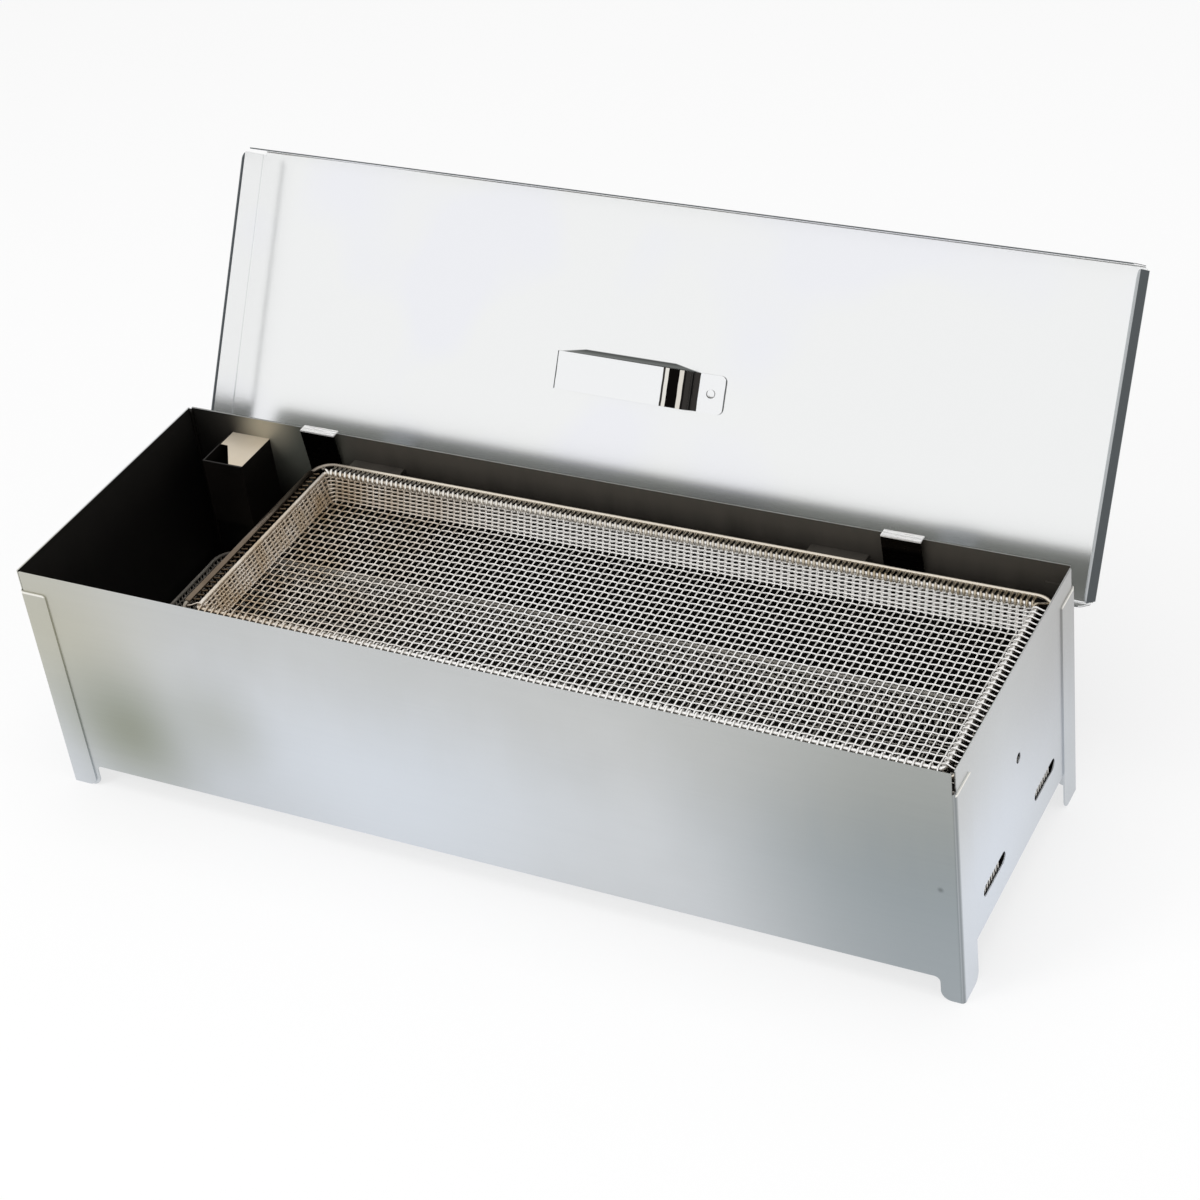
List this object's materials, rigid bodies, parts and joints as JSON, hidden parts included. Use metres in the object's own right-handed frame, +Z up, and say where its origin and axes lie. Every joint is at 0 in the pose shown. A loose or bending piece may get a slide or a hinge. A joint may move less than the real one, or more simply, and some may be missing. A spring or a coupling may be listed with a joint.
{
  "type": "smokehouse",
  "caption": "Long sheet-steel table-top fish smoker on folded feet, with a hinged cap lid, a lift-out wire-mesh basket and a wire-mesh sawdust tray.",
  "frame": {"origin": "centre of the body's footprint, on the plane of the feet", "axes": "+X along the length to the vented end, +Y to the hinge side, +Z up"},
  "size_m": [0.6548, 0.3598, 0.3183],
  "materials": {
    "body_steel": "satin rolled stainless sheet",
    "lid_steel": "bright satin stainless sheet",
    "hinge_steel": "bright stainless strip",
    "mesh_wire": "bright drawn wire with faint heat tint"
  },
  "bodies": {
    "housing": {"front_panel": "body_steel", "back_panel": "body_steel", "left_end_panel": "body_steel", "right_end_panel": "body_steel", "floor_pan": "body_steel", "wall_box": "body_steel", "hinge_strap_left": "hinge_steel", "hinge_strap_right": "hinge_steel", "strap_rivets": "hinge_steel", "hinge_pin_left": "hinge_steel", "hinge_pin_right": "hinge_steel", "bracket_front_left": "body_steel", "bracket_front_right": "body_steel", "bracket_back_left": "body_steel", "bracket_back_right": "body_steel"},
    "lid": {"lid_shell": "lid_steel", "hinge_leaf_left": "hinge_steel", "hinge_leaf_right": "hinge_steel", "leaf_rivets": "hinge_steel", "lid_clip": "lid_steel", "clip_rivet": "hinge_steel"},
    "basket": {"basket_outer_rod": "mesh_wire", "basket_inner_rod": "mesh_wire", "basket_rim_mesh": "mesh_wire", "basket_side_mesh": "mesh_wire", "basket_floor_mesh": "mesh_wire"},
    "tray": {"tray_rim_rod": "mesh_wire", "tray_side_mesh": "mesh_wire", "tray_floor_mesh": "mesh_wire"}
  },
  "joints": [
    {"name": "lid_hinge", "type": "hinge", "parent": "housing", "child": "lid", "pos_m": [0, 0.108, 0.141], "axis": [1, 0, 0], "range_deg": [0, 122]},
    {"name": "basket_lift", "type": "slide", "parent": "housing", "child": "basket", "axis": [0, 0, 1], "range_m": [0, 0.012]},
    {"name": "tray_lift", "type": "slide", "parent": "housing", "child": "tray", "axis": [0, 0, 1], "range_m": [0, 0.04]}
  ]
}
